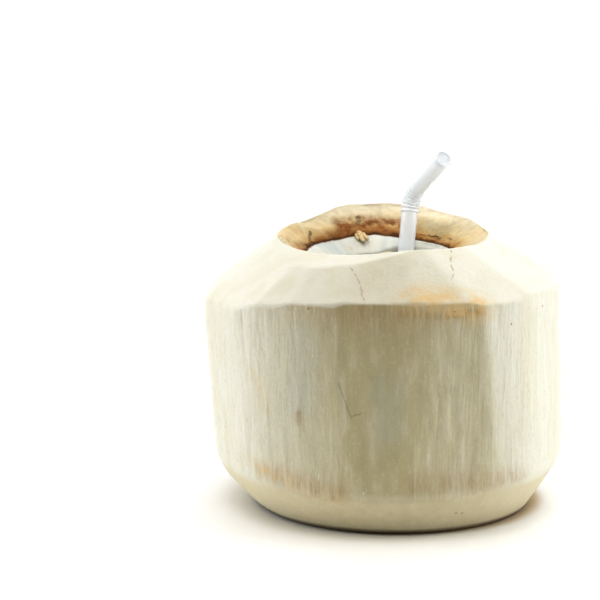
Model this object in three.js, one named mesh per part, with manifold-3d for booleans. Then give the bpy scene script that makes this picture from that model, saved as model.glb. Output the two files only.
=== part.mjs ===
// A young coconut trimmed for drinking, opened at the top, with its water and a bendy straw.
// The green skin is gone: knife cuts shape the pale husk into a drum with a conical top and a
// chamfered foot. Millimetres, +Z up, origin at the centre of the flat base, which the nut rests on.
// The nut leans a little to the left and to the front, because its base was not cut square.
import * as THREE from 'three';
import { mergeVertices } from 'three/addons/utils/BufferGeometryUtils.js';
import Module from 'manifold-3d';

// The knife cuts round the drum and the cone above it, one row for each side of the nut.
// azimuth: the way the side faces, in degrees from +X; -Y, the front, is 270.
// top, foot: distance of the side from the Z axis at the heights DRUM_TOP and DRUM_FOOT.
// shoulder: height where the side meets the cone; slope: fall of the cone there, in degrees.
const DRUM_TOP = 80;
const DRUM_FOOT = 16;
const SIDES = [
  { azimuth: 180, top: 69.0, foot: 64.0, shoulder: 76.2, slope: 37.8 },
  { azimuth: 206, top: 68.0, foot: 63.7, shoulder: 76.8, slope: 37.0 },
  { azimuth: 228, top: 69.0, foot: 64.2, shoulder: 78.6, slope: 37.0 },
  { azimuth: 246, top: 66.7, foot: 62.4, shoulder: 80.2, slope: 36.5 },
  { azimuth: 265, top: 64.4, foot: 61.6, shoulder: 81.2, slope: 36.5 },
  { azimuth: 285, top: 63.9, foot: 60.6, shoulder: 81.2, slope: 36.0 },
  { azimuth: 306, top: 63.5, foot: 63.3, shoulder: 80.2, slope: 33.5 },
  { azimuth: 331, top: 59.6, foot: 61.9, shoulder: 81.6, slope: 31.5 },
  { azimuth: 0, top: 58.7, foot: 61.6, shoulder: 84.0, slope: 30.5 },
  { azimuth: 33, top: 60.0, foot: 63.2, shoulder: 85.8, slope: 30.5 },
  { azimuth: 68, top: 61.8, foot: 63.8, shoulder: 88.0, slope: 31.5 },
  { azimuth: 97, top: 62.8, foot: 63.3, shoulder: 88.0, slope: 32.5 },
  { azimuth: 126, top: 65.2, foot: 63.2, shoulder: 83.5, slope: 35.0 },
  { azimuth: 153, top: 68.0, foot: 64.2, shoulder: 77.2, slope: 37.0 },
];
const SHOULDER_EASE = 1.3; // depth that is worn off the edge between the drum and the cone

// One flatter cut on the cone, at the near left of the mouth.
const BEVEL = { azimuth: 228, slope: 22.4, through: [-26.2, -37.2, 93.6] };

// The foot: a cone round the base, cut before the base was, so it leans with the nut.
const BASE_RADIUS = 49.3;
const FOOT_SLOPE = 52.5;
const FOOT_LEAN_LEFT = 5.5;
const FOOT_LEAN_FRONT = 1.5;
const FOOT_SHIFT = [3.6, 1.0];

// The mouth: a funnel cut down through husk, shell and flesh, tilted towards the front.
const MOUTH_CENTRE = [-4.8, -2.0, 91.8];
const MOUTH_RADIUS = 27.5; // at the inner edge of the shell
const MOUTH_SLOPE = 33;
const MOUTH_TILT = 7;
const MOUTH_STRETCH = [1.04, 0.97]; // the mouth is wider than it is deep

// The hollow inside the flesh, and the water in it.
const CAVITY_CENTRE = [-3.5, -1.0, 59.0];
const CAVITY_RADIUS = 38;
const CAVITY_HALF_HEIGHT = 37;
const WATER_LEVEL = 76;

// The straw: its foot on the floor of the hollow, leaning on the far edge of the flesh.
const STRAW_RADIUS = 3;
const STRAW_WALL = 0.4;
const STRAW_FOOT = [-1.0, -6.4, 23.9];
const STRAW_BEND = [7.8, 18.9, 109.6];
const STRAW_TIP = [17.5, -4.5, 124.5];
const BEND_REACH = 7; // length of the bellows on each side of the bend
const RIDGE_COUNT = 7;
const RIDGE_HEIGHT = 0.45;
const RIDGE_HALF_WIDTH = 0.6;

const GAP = 0.3; // clearance between pieces that touch
const BLOCK = 400; // larger than the nut, for cutting it with a plane
const FOOT_SEGMENTS = 60;
const MOUTH_SEGMENTS = 56;
const CAVITY_SEGMENTS = 44;
const WATER_SEGMENTS = 32;
const SLEEVE_SEGMENTS = 24;
const STRAW_STEPS = 40;
const RIDGE_SEGMENTS = 16;
const radians = THREE.MathUtils.degToRad;

const wasm = await Module();
wasm.setup();

function toSolid(geometry) {
  const bare = geometry.clone();
  bare.deleteAttribute('normal');
  bare.deleteAttribute('uv');
  const merged = mergeVertices(bare, 1e-4);
  return new wasm.Manifold(new wasm.Mesh({
    numProp: 3,
    vertProperties: new Float32Array(merged.attributes.position.array),
    triVerts: new Uint32Array(merged.index.array),
  }));
}

function toGeometry(solid) {
  const mesh = solid.getMesh();
  const geometry = new THREE.BufferGeometry();
  geometry.setAttribute('position', new THREE.BufferAttribute(mesh.vertProperties, 3));
  geometry.setIndex(new THREE.BufferAttribute(mesh.triVerts, 1));
  geometry.computeVertexNormals();
  return geometry;
}

// A body of revolution about Z from a profile of [radius, height] points, listed upwards.
function turned(profile, segments) {
  const points = profile.map(([radius, height]) => new THREE.Vector2(radius, height));
  return new THREE.LatheGeometry(points, segments).rotateX(Math.PI / 2);
}

function ellipsoid(radius, halfHeight, segments) {
  return new THREE.SphereGeometry(1, segments, Math.round(segments * 0.6))
    .rotateX(Math.PI / 2)
    .scale(radius, radius, halfHeight)
    .translate(...CAVITY_CENTRE);
}

// Takes away everything beyond a plane, given by its outward normal and its distance.
function slice(solid, normal, distance) {
  const turn = new THREE.Quaternion().setFromUnitVectors(new THREE.Vector3(0, 0, 1), normal);
  const block = new THREE.BoxGeometry(BLOCK, BLOCK, BLOCK)
    .translate(0, 0, BLOCK / 2 + distance)
    .applyQuaternion(turn);
  return solid.subtract(toSolid(block));
}

// Outward normal of a surface that faces an azimuth and falls outwards at a slope.
function facing(azimuth, slope) {
  const a = radians(azimuth);
  const s = radians(slope);
  return new THREE.Vector3(Math.cos(a) * Math.sin(s), Math.sin(a) * Math.sin(s), Math.cos(s));
}

function cutSide(solid, side) {
  const spread = (side.top - side.foot) / (DRUM_TOP - DRUM_FOOT);
  const reach = side.foot + spread * (side.shoulder - DRUM_FOOT);
  const wallSlope = 90 + THREE.MathUtils.radToDeg(Math.atan(spread));
  const outward = facing(side.azimuth, 90);
  const corner = outward.clone().multiplyScalar(reach).setZ(side.shoulder);
  const wall = facing(side.azimuth, wallSlope);
  const cone = facing(side.azimuth, side.slope);
  const ease = facing(side.azimuth, (side.slope + wallSlope) / 2);
  let cut = slice(solid, wall, wall.dot(corner));
  cut = slice(cut, cone, cone.dot(corner));
  return slice(cut, ease, ease.dot(corner) - SHOULDER_EASE);
}

function makeFootedBlank() {
  const run = 1 / Math.tan(radians(FOOT_SLOPE));
  const bottom = -12;
  const flare = 40;
  const top = 140;
  const profile = [
    [0, bottom],
    [BASE_RADIUS + bottom * run, bottom],
    [BASE_RADIUS + flare * run, flare],
    [BASE_RADIUS + flare * run, top],
    [0, top],
  ];
  const blank = turned(profile, FOOT_SEGMENTS)
    .rotateX(radians(FOOT_LEAN_FRONT))
    .rotateY(radians(-FOOT_LEAN_LEFT))
    .translate(...FOOT_SHIFT, 0);
  return slice(toSolid(blank), new THREE.Vector3(0, 0, -1), 0);
}

function makeFunnel() {
  const rise = Math.tan(radians(MOUTH_SLOPE));
  const top = 40;
  const profile = [[0, -MOUTH_RADIUS * rise], [MOUTH_RADIUS + top / rise, top], [0, top]];
  const funnel = turned(profile, MOUTH_SEGMENTS)
    .scale(...MOUTH_STRETCH, 1)
    .rotateX(radians(MOUTH_TILT))
    .translate(...MOUTH_CENTRE);
  return toSolid(funnel);
}

function makeCoconut() {
  let body = makeFootedBlank();
  for (const side of SIDES) body = cutSide(body, side);
  const bevel = facing(BEVEL.azimuth, BEVEL.slope);
  body = slice(body, bevel, bevel.dot(new THREE.Vector3(...BEVEL.through)));
  const cavity = ellipsoid(CAVITY_RADIUS, CAVITY_HALF_HEIGHT, CAVITY_SEGMENTS);
  return body.subtract(makeFunnel()).subtract(toSolid(cavity));
}

// The straw's centre line: two straight runs and a smooth bend between them.
function strawLine() {
  const foot = new THREE.Vector3(...STRAW_FOOT);
  const corner = new THREE.Vector3(...STRAW_BEND);
  const tip = new THREE.Vector3(...STRAW_TIP);
  const bendStart = corner.clone().add(foot.clone().sub(corner).setLength(BEND_REACH));
  const bendEnd = corner.clone().add(tip.clone().sub(corner).setLength(BEND_REACH));
  const line = new THREE.CurvePath();
  line.add(new THREE.LineCurve3(foot, bendStart));
  line.add(new THREE.QuadraticBezierCurve3(bendStart, corner, bendEnd));
  line.add(new THREE.LineCurve3(bendEnd, tip));
  return line;
}

function disc(radius) {
  return new THREE.Shape().absarc(0, 0, radius, 0, 2 * Math.PI, false);
}

function makeStraw() {
  const line = strawLine();
  const section = disc(STRAW_RADIUS);
  section.holes.push(disc(STRAW_RADIUS - STRAW_WALL));
  const options = { steps: STRAW_STEPS, curveSegments: 8, bevelEnabled: false, extrudePath: line };
  let straw = toSolid(new THREE.ExtrudeGeometry(section, options));
  const bend = line.curves[1];
  const root = STRAW_RADIUS - STRAW_WALL / 2;
  const crest = STRAW_RADIUS + RIDGE_HEIGHT;
  const lower = [root, -RIDGE_HALF_WIDTH];
  const ridge = [lower, [crest, 0], [root, RIDGE_HALF_WIDTH], lower];
  for (let i = 0; i < RIDGE_COUNT; i += 1) {
    const along = (i + 0.5) / RIDGE_COUNT;
    const turn = new THREE.Quaternion()
      .setFromUnitVectors(new THREE.Vector3(0, 0, 1), bend.getTangentAt(along));
    const ring = turned(ridge, RIDGE_SEGMENTS).applyQuaternion(turn).translate(...bend.getPointAt(along));
    straw = straw.add(toSolid(ring));
  }
  return straw;
}

// The water fills the hollow up to its level and stands clear of the straw. Its outline is coarser
// than the hollow's, so it keeps twice the gap.
function makeWater() {
  const margin = 2 * GAP;
  const body = ellipsoid(CAVITY_RADIUS - margin, CAVITY_HALF_HEIGHT - margin, WATER_SEGMENTS);
  const pool = slice(toSolid(body), new THREE.Vector3(0, 0, 1), WATER_LEVEL);
  const foot = new THREE.Vector3(...STRAW_FOOT);
  const corner = new THREE.Vector3(...STRAW_BEND);
  const along = corner.clone().sub(foot).normalize();
  const length = foot.distanceTo(corner);
  const turn = new THREE.Quaternion().setFromUnitVectors(new THREE.Vector3(0, 0, 1), along);
  const bore = STRAW_RADIUS + GAP;
  const sleeve = new THREE.CylinderGeometry(bore, bore, length, SLEEVE_SEGMENTS)
    .rotateX(Math.PI / 2)
    .translate(0, 0, length / 2 - STRAW_RADIUS)
    .applyQuaternion(turn)
    .translate(...STRAW_FOOT);
  return pool.subtract(toSolid(sleeve));
}

function piece(name, solid, settings) {
  const mesh = new THREE.Mesh(toGeometry(solid), new THREE.MeshStandardMaterial(settings));
  mesh.name = name;
  return mesh;
}

const group = new THREE.Group();
group.add(piece('coconut', makeCoconut(), { color: 0xe6dcbe, roughness: 0.8, metalness: 0 }));
group.add(piece('coconut_water', makeWater(), { color: 0xe9ece4, roughness: 0.05, metalness: 0 }));
group.add(piece('straw', makeStraw(), { color: 0xf4f5f5, roughness: 0.35, metalness: 0 }));

export default group;
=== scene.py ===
"""A young coconut, peeled and trimmed with a knife and opened for drinking, with a white bendy straw.

The nut is one surface, carried from the middle of its base up over the knife cuts, over the rim of
the mouth and down into the hollow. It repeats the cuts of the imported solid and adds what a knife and
fibre leave: rounded edges, shallow waves, torn strands and stains. Lengths are in millimetres up to
the point where a mesh is filled, which is in metres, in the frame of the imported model.
"""
import itertools
import math

import bpy
import numpy as np
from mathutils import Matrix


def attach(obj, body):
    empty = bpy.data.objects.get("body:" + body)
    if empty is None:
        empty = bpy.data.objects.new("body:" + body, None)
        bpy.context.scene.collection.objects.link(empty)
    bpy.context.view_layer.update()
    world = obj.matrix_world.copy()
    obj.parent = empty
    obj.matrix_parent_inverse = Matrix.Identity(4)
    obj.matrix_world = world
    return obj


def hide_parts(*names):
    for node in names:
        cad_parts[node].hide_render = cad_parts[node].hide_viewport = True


bl_info = {
    "name": "Trimmed young coconut",
    "version": (1, 0, 0),
    "blender": (4, 5, 0),
    "location": "3D View > Sidebar > Coconut",
    "description": "Builds a peeled young coconut with its water and a bendy straw",
    "category": "Add Mesh",
}

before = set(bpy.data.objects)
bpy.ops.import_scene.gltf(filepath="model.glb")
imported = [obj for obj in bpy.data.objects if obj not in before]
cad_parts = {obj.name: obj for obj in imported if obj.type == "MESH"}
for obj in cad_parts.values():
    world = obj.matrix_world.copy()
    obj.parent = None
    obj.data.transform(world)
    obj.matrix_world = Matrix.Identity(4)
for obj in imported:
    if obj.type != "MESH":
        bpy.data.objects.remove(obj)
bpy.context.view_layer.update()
MM = 0.001

# Knife cuts of the outside, as in the imported solid but for the shoulder at 126 and the bevel, which
# are fitted closer. Each side has its azimuth in degrees, its distance from the axis near the
# shoulder and near the foot, the height of its shoulder, the slope of the cone above it in degrees,
# and how much painted shade darkens it to an olive grey: 0 is none, and the side in front, which the
# lamps reach least, has the most.
DRUM_TOP = 80.0
DRUM_FOOT = 16.0
SIDES = np.array([
    (180, 69.0, 64.0, 76.2, 37.8, 0.0),
    (206, 68.0, 63.7, 76.8, 37.0, 0.0),
    (228, 69.0, 64.2, 78.6, 37.0, 0.1),
    (246, 66.7, 62.4, 80.2, 36.5, 0.5),
    (265, 64.4, 61.6, 81.2, 36.5, 1.25),
    (285, 63.9, 60.6, 81.2, 36.0, 0.7),
    (306, 63.5, 63.3, 80.2, 33.5, 0.0),
    (331, 59.6, 61.9, 81.6, 31.5, 0.0),
    (0, 58.7, 61.6, 84.0, 30.5, 0.0),
    (33, 60.0, 63.2, 85.8, 30.5, 0.2),
    (68, 61.8, 63.8, 88.0, 31.5, 0.5),
    (97, 62.8, 63.3, 88.0, 32.5, 0.3),
    (126, 65.2, 63.2, 84.8, 35.0, 0.1),
    (153, 68.0, 64.2, 77.2, 37.0, 0.0),
])
CONE_PAINTED_SHADE = 0.14
# How soft edges are, in one over millimetres. The shoulder and the foot are crisp in front and
# rounder towards two sides. One upright edge is crisp, where the painted shade of the front ends: the
# others' softness, and that of the painted shade's edge, come with what it takes off and its reach in
# degrees.
CRISP = 0.4e-4
ROUND_MORE = 3.2e-4
ROUND_SIDES = (183, 12)
ROUND_COSINES = (0.72, 0.97)
UPRIGHT_SOFT = (3.6e-4, 3.0e-4, 8)
PAINTED_SHADE_SOFT = (4.5e-4, 3.7e-4, 10)
CRISP_UPRIGHT = 295
BEVEL_FACING = (230, 14.8)
BEVEL_THROUGH = np.array([-31.2, -43.2, 90.6])
BASE_RADIUS = 49.3
FOOT_SLOPE = 52.5
FOOT_LEAN_LEFT = 5.5
FOOT_LEAN_FRONT = 1.5
FOOT_SHIFT = np.array([3.6, 1.0, 0.0])

# The mouth, the layers that it cuts through, and the hollow. Angles round the mouth are in radians,
# but for those of the fresher block at its left, in degrees.
MOUTH_CENTRE = np.array([-4.8, -2.0, 91.8])
MOUTH_RADIUS = 27.5
MOUTH_SLOPE = 33.0
MOUTH_TILT = 7.0
MOUTH_STRETCH = np.array([1.04, 0.97])
SHELL_INSET = 2.0
SHELL_OUT_BEHIND = 1.3
BEHIND = (1.75, 0.45)
SHELL_EDGE = 2.2
BLOCK_FROM = (146.5, 149)
BLOCK_TO = (205, 196)
THROAT_DROP = 5.0
THROAT_LEAD = 1.2
THROAT_JOIN = 15
FLESH_REACH = 3.2
FLESH_FROM = (1.15, 1.6)
FLESH_TO = (3.0, 2.6)
CAVITY_CENTRE = np.array([-3.5, -1.0, 59.0])
CAVITY_RADIUS = 38.0
CAVITY_HALF_HEIGHT = 37.0
WATER_LEVEL = 76.0
WATER_GAP = 0.12
MENISCUS_REACH = 1.4

# The bendy straw.
STRAW_RADIUS = 3.0
STRAW_FOOT = np.array([-1.0, -6.4, 23.9])
STRAW_BEND = np.array([7.8, 18.9, 109.6])
STRAW_TIP = np.array([17.5, -4.5, 124.5])
BEND_REACH = 7.0
STRAW_STEPS = (30, 106, 12)
RIDGE_COUNT = 7
RIDGE_HEIGHT = 0.45
RIDGE_HALF_WIDTH = 0.75

# The point inside the nut that its outside is measured from, and how fine the surfaces are.
HEART = np.array([0.0, 0.0, 50.0])
COLUMNS = 480
ROWS = {
    "base": 8, "foot": 22, "drum": 72, "cone": 38,
    "wall": 28, "shell": 4, "flesh": 10, "throat": 8, "hollow": 12,
}

# The studio. Each lamp has its kind, strength or watts, colour, azimuth and elevation in degrees,
# size, target in millimetres and distance in metres.
WORLD_BACK = (1.02, 1.05, 1.16, 1.0)
WORLD_FRONT = (0.08, 0.078, 0.075, 1.0)
LAMPS = {
    "front light": ("SUN", 1.64, "#fffcf6", 270, 72, 50, HEART, 0.8),
    "back light": ("SUN", 0.2, "#e6edff", 90, 72, 50, HEART, 0.8),
    "left light": ("AREA", 2.5, "#f0f8ff", 180, 10, 0.5, HEART, 0.8),
    "right light": ("AREA", 2.95, "#f0f8ff", 352, 20, 0.5, HEART, 0.8),
    "mouth light": ("SPOT", 4.1, "#ffffff", 264, 52, 9, np.array([6, 10, 108]), 0.5),
}
TABLE_RADIUS = 6000
CAMERA_PLACE = (-33.5, -575, 160)
CAMERA_DOWN = 8.6
CAMERA_LENS = 96
VIEW_GAMMA = 0.75

# Marks that age and the knife left, as paths in millimetres in the nut's frame. One point is a spot.
CONE_CRACK = [(17.4, -37.3, 95.5), (17.2, -49.7, 88.9), (16.4, -56.5, 84.5), (17.2, -61.4, 78.2)]
FRONT_CRACK = [(-17.0, -48.7, 91.5), (-13.6, -56.7, 86.2), (-12.4, -62.3, 80.8)]
NICK = [(-21.1, -61.7, 54.6), (-16.4, -61.6, 43.2), (-10.6, -62.2, 45.3)]
CREASE = [(-53.9, -42.8, 74.8), (-52.6, -43.4, 58.0)]
SLIT = [(-53.9, -42.8, 76.4), (-53.2, -43.2, 70.0)]
LONG_GROOVE = [(16.4, -60.2, 50.6), (16.9, -59.8, 42.0), (17.7, -59.0, 35.2)]
SHORT_GROOVE = [(11.3, -61.8, 54.3), (12.6, -60.6, 38.9)]
ORANGE_LINE = [(-51.8, -43.8, 55.7), (-47.6, -47.2, 53.0), (-46.3, -48.0, 44.0)]
ORANGE_CONE = [(3.2, -61.6, 83.7), (8.7, -61.7, 82.7), (17.0, -60.2, 81.2), (25.3, -58.3, 80.2)]
BROWN_SHOULDER = [(14.9, -62.0, 77.5), (17.5, -61.3, 77.7), (25.9, -59.1, 78.0)]
SHOULDER_BAND = [(-0.5, -64.5, 78.2), (11.9, -62.8, 77.3)]
FOOT_STAIN = [(-51.7, -40.5, 23.3), (-46.4, -45.1, 21.3), (-38.6, -51.3, 18.8), (-34.5, -53.1, 17.9)]
TORN_EDGE = [(-46.4, -45.1, 21.3), (-33.5, -53.7, 19.0), (-21.2, -59.0, 16.5)]
BROWN_ZONE = [(5.5, -61.6, 20.3), (23.1, -57.0, 20.7), (41.8, -48.1, 19.5)]
GREY_PATCH = [(-33.5, -57.2, 68.4), (-33.5, -55.6, 45.5)]
GREY_FRONT = [(-5.4, -63.0, 52.9), (-5.0, -62.4, 38.7)]
RED_SHOULDER = [(-9.2, -63.5, 79.0), (-3.7, -63.9, 79.1)]
SHOULDER_SPOT = [(-30.6, -58.5, 78.9)]
DRUM_SPOT = [(-34.0, -55.0, 40.2), (-33.9, -55.0, 43.2)]
BROWN_ROUNDS = [[(-27.9, -55.9, 16.7)], [(-22.7, -58.1, 14.8)], [(-38.6, -51.4, 19.0)]]
DOTS = [[(19.1, -52.4, 8.3)], [(21.2, -51.2, 8.0)], [(49.5, -33.9, 76.1)], [(36.8, -51.7, 72.8)]]
MOUTH_CRACK = [(-29.7, 16.2, 96.1), (-29.7, 9.6, 92.8)]
MOUTH_NOTCH = [(-31.6, 7.0, 92.6), (-30.4, 5.0, 91.6)]
MOUTH_SPOT = [(-11.6, 30.0, 100.2), (-11.7, 27.2, 97.9)]
MOUTH_DARK_RIGHT = [
    (6.5, 23.0, 94.6), (14.8, 18.2, 94.1), (20.8, 12.2, 93.6), (24.2, 6.0, 93.0), (25.0, 0.0, 92.2),
]
MOUTH_RED = [(-16.0, 25.2, 97.4), (-10.0, 26.8, 97.6), (-4.0, 27.2, 97.6), (2.3, 26.0, 97.2)]
MOUTH_GOLD = [(-36.0, -3.0, 94.0), (-30.0, 5.0, 92.6), (-25.0, 15.0, 93.4), (-17.0, 22.0, 94.6)]
MOUTH_PEACH = [(-39.0, -1.0, 96.8), (-37.0, 9.0, 97.0)]
MOUTH_PEACH_RIGHT = [(30.1, 4.7, 97.2), (34.0, -5.2, 97.7)]
# Grooves as depth in millimetres, path and reach.
GROOVES = [
    (-0.5, CREASE, 2.2), (-0.25, ORANGE_LINE, 2.0), (-0.4, LONG_GROOVE, 1.8), (-0.3, SHORT_GROOVE, 1.6),
]
# Splinters at the shell, from root to tip, with their widths, curls and the way that they lift.
SPLINTERS = np.array([
    [(-11.4, 24.8, 95.8), (-9.4, 18.0, 90.8)],
    [(-12.6, 24.4, 95.2), (-11.4, 19.4, 92.2)],
    [(-9.8, 24.0, 95.2), (-7.6, 19.2, 91.6)],
])
SPLINTER_WIDTHS = np.array([1.6, 1.1, 1.0])
SPLINTER_CURLS = np.array([0.12, 0.05, 0.2])
SPLINTER_LIFT = np.array([0.1, -0.5, 0.86])


def linear(code, alpha=1.0):
    """A colour given as sRGB hex, turned to Blender's linear light."""
    parts = [int(code[i:i + 2], 16) / 255 for i in (1, 3, 5)]
    return tuple(p / 12.92 if p <= 0.04045 else ((p + 0.055) / 1.055) ** 2.4 for p in parts) + (alpha,)


def way(azimuth, elevation):
    """Unit direction at an azimuth and an elevation in degrees."""
    a, e = np.radians(azimuth), np.radians(elevation)
    return np.stack([np.cos(e) * np.cos(a), np.cos(e) * np.sin(a), np.sin(e) + 0 * a], -1)


def facing(azimuth, slope):
    """Unit normals of cuts: level at slope 0, upright at slope 90, looking towards azimuth."""
    return way(azimuth, 90 - np.asarray(slope))


def between(low, high, value):
    """Smooth step: 0 at low, 1 at high, and t squared times (3 - 2t) between them."""
    t = np.clip((value - low) / (high - low), 0, 1)
    return t * t * (3 - 2 * t)


def hump(value, middle, width):
    """Bell curve: 1 at the middle, and exp(-1) at the width from it."""
    return np.exp(-((value - middle) / width) ** 2)


def unit(vectors):
    """Vectors divided by their lengths."""
    return vectors / np.maximum(np.linalg.norm(vectors, axis=-1, keepdims=True), 1e-9)


def noise(points, seed):
    """Value noise from -1 to 1: a hash at each whole point of space, joined between the eight corners
    of each cell by smooth steps."""
    cell = np.floor(points)
    part = points - cell
    part = part * part * (3 - 2 * part)
    total = 0
    for corner in itertools.product((0, 1), repeat=3):
        mixed = np.sin((cell + corner) @ np.array([127.1, 311.7, 74.7]) + seed * 17.31) * 43758.5453
        share = np.prod(np.where(corner, part, 1 - part), -1)
        total = total + share * (mixed - np.floor(mixed))
    return 2 * total - 1


def strands(points, width, length, seed):
    """Noise drawn out along the fibres, which run up the nut: width across and length along them."""
    return noise(points / np.array([width, width, length]), seed)


def near(points, path, reach):
    """1 on a path of points and 0 at reach from it, by the distance to its nearest stretch."""
    corners = np.array(path)
    nearest = np.full(points.shape[:-1], np.inf)
    for a, b in zip(corners, corners[1:] if len(corners) > 1 else corners):
        step = b - a
        share = np.clip((points - a) @ step / max(step @ step, 1e-9), 0, 1)
        nearest = np.minimum(nearest, np.linalg.norm(points - a - share[..., None] * step, axis=-1))
    return between(reach, 0, nearest)


def crossing(test, low, high):
    """Bisection for whole arrays: the value between low and high where test goes from below nothing
    to above it."""
    for _ in range(36):
        middle = (low + high) / 2
        above = test(middle) > 0
        low = np.where(above, low, middle)
        high = np.where(above, middle, high)
    return (low + high) / 2


def eased(count, end=False):
    """Steps from 0 to 1 as a column, closer together near both ends: t - 0.55 sin(2 pi t) / 2 pi."""
    t = np.linspace(0, 1, count, endpoint=end)[:, None]
    return t - 0.55 * np.sin(2 * math.pi * t) / (2 * math.pi)


def even(count):
    """Even steps up to 1 as a column, with 0 left out."""
    return np.linspace(0, 1, count + 1)[1:, None]


def circle(count):
    """Even angles round a full turn, in radians."""
    return np.arange(count) * 2 * math.pi / count


def fill_mesh(name, points, materials, ring=False, row_material=None, values=None):
    """Turns grids of points, in millimetres, into one mesh object. Points has the shape (copies,
    rows, columns, 3), and columns close on themselves. With ring the rows do too; otherwise the
    first and last rows are poles, drawn together to their middle. Faces are turned outwards by the
    sign of the enclosed volume."""
    copies, rows, columns = points.shape[:3]
    index = np.arange(rows * columns).reshape(rows, columns)
    if ring:
        index = np.concatenate([index, index[:1]])
    else:
        index = np.clip(index - columns + 1, 0, (rows - 2) * columns + 1)
    count = index.max() + 1
    beside = np.roll(index, -1, 1)
    faces = np.stack([index[:-1], beside[:-1], beside[1:], index[1:]], -1).reshape(-1, 4)
    face_row = np.repeat(np.arange(len(index) - 1), columns)

    def flat(grid):
        """One value for each vertex, with the poles' rows brought to their mean."""
        if ring:
            return grid.reshape(copies * count, -1)
        parts = [grid[:, :1].mean(2), grid[:, 1:-1].reshape(copies, count - 2, -1), grid[:, -1:].mean(2)]
        return np.concatenate(parts, 1).reshape(copies * count, -1)

    vertices = flat(points)
    a, b, c, d = (vertices[faces[:, i]] for i in range(4))
    if np.sum(a * np.cross(b, c)) + np.sum(a * np.cross(c, d)) < 0:
        faces = faces[:, [1, 0, 3, 2]]
    shift = np.arange(copies)[:, None, None] * count
    faces = (faces + shift).reshape(-1, 4)
    mesh = bpy.data.meshes.new(name)
    mesh.from_pydata((vertices * MM).tolist(), [], [list(dict.fromkeys(f)) for f in faces.tolist()])
    mesh.polygons.foreach_set("use_smooth", np.ones(len(faces), bool))
    for material in materials:
        mesh.materials.append(material)
    if row_material is not None:
        chosen = np.tile(np.asarray(row_material)[face_row], copies)
        mesh.polygons.foreach_set("material_index", chosen.astype(np.int32))
    for label, grid in (values or {}).items():
        layer = mesh.attributes.new(label, "FLOAT", "POINT")
        layer.data.foreach_set("value", flat(grid[..., None])[:, 0].astype(np.float32))
    mesh.update()
    made = bpy.data.objects.new(name, mesh)
    bpy.context.scene.collection.objects.link(made)
    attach(made, "root")
    return made


def grid_normals(points):
    """Unit normals of a grid whose columns close: the cross product of the steps along its rows and
    up its columns."""
    along = np.roll(points, -1, -2) - np.roll(points, 1, -2)
    return unit(np.cross(along, np.gradient(points, axis=-3)))


def cut_planes():
    """Normals and distances of the walls, and of the cone's cuts with the bevel. A wall leans by the
    difference of its two distances over the drum's height."""
    azimuth, top, foot, shoulder, slope, _ = SIDES.T
    lean = (top - foot) / (DRUM_TOP - DRUM_FOOT)
    upright = 90 + np.degrees(np.arctan(lean))
    corner = facing(azimuth, 90) * (foot + lean * (shoulder - DRUM_FOOT))[:, None]
    corner[:, 2] = shoulder
    wall = facing(azimuth, upright)
    cone = facing(azimuth, slope)
    bevel = facing(*BEVEL_FACING)[None]
    cone_reach = np.concatenate([np.sum(cone * corner, 1), bevel @ BEVEL_THROUGH])
    return (wall, np.sum(wall * corner, 1)), (np.concatenate([cone, bevel]), cone_reach)


WALLS, CONES = cut_planes()


def plane_gauge(direction, planes):
    """One over the distance from the heart to each plane along direction: the cosine to its normal
    over the heart's distance from it. The largest one is the cut that the ray meets first."""
    normal, reach = planes
    return np.maximum(direction @ normal.T, 0) / (reach - normal @ HEART)


def foot_gauge(direction):
    """One over the distance t to the leaning foot cone, where the distance from its axis equals the
    base radius plus the height over the tangent of its slope: a quadratic in t."""
    (c, s), (f, g) = ((math.cos(a), math.sin(a)) for a in np.radians([-FOOT_LEAN_LEFT, FOOT_LEAN_FRONT]))
    turn_left = np.array([[c, 0, s], [0, 1, 0], [-s, 0, c]])
    turn_front = np.array([[1, 0, 0], [0, f, -g], [0, g, f]])
    start = (HEART - FOOT_SHIFT) @ turn_left @ turn_front
    step = direction @ turn_left @ turn_front
    spread = 1 / math.tan(math.radians(FOOT_SLOPE))
    edge = BASE_RADIUS + start[2] * spread
    a = step[..., 0] ** 2 + step[..., 1] ** 2 - (step[..., 2] * spread) ** 2
    b = 2 * (start[0] * step[..., 0] + start[1] * step[..., 1] - edge * spread * step[..., 2])
    c = start[0] ** 2 + start[1] ** 2 - edge ** 2
    root = np.sqrt(np.maximum(b * b - 4 * a * c, 0))
    return np.maximum((b + root) / (-2 * c), 0)


def base_gauge(direction):
    """One over the distance to the base, which is the heart's height over the downward share."""
    return np.maximum(-direction[..., 2], 0) / HEART[2]


def rounding(azimuth):
    """How soft the shoulder and the foot's edge are."""
    aside = np.maximum(*(np.cos(np.radians(azimuth - side)) for side in ROUND_SIDES))
    return CRISP + ROUND_MORE * between(*ROUND_COSINES, aside)


def upright_rounding(azimuth, most, less, reach):
    """How soft an upright edge is: most, and less by a bell curve at the crisp one."""
    return most - less * hump(azimuth, CRISP_UPRIGHT, reach)


def soft_maximum(gauges, soft):
    """k log(sum(exp(g / k))) over the last axis."""
    highest = gauges.max(-1)
    return highest + soft * np.log(np.exp((gauges - highest[..., None]) / soft[..., None]).sum(-1))


def painted_shade_levels(direction):
    """How much painted shade the cuts met along directions carry: their mean, weighted by how near to
    the surface each one is. The cone carries less of it than the drum, and its bevel none."""
    levels = SIDES[:, 5]
    azimuth = np.degrees(np.arctan2(direction[..., 1], direction[..., 0])) % 360
    soft = upright_rounding(azimuth, *PAINTED_SHADE_SOFT)[..., None]
    planes = ((WALLS, levels, soft), (CONES, np.append(CONE_PAINTED_SHADE * levels, 0), CRISP))
    parts = []
    for cuts, level, soft in planes:
        gauges = plane_gauge(direction, cuts)
        share = np.exp((gauges - gauges.max(-1, keepdims=True)) / soft)
        parts.append((share * level).sum(-1) / share.sum(-1))
    return parts


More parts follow.
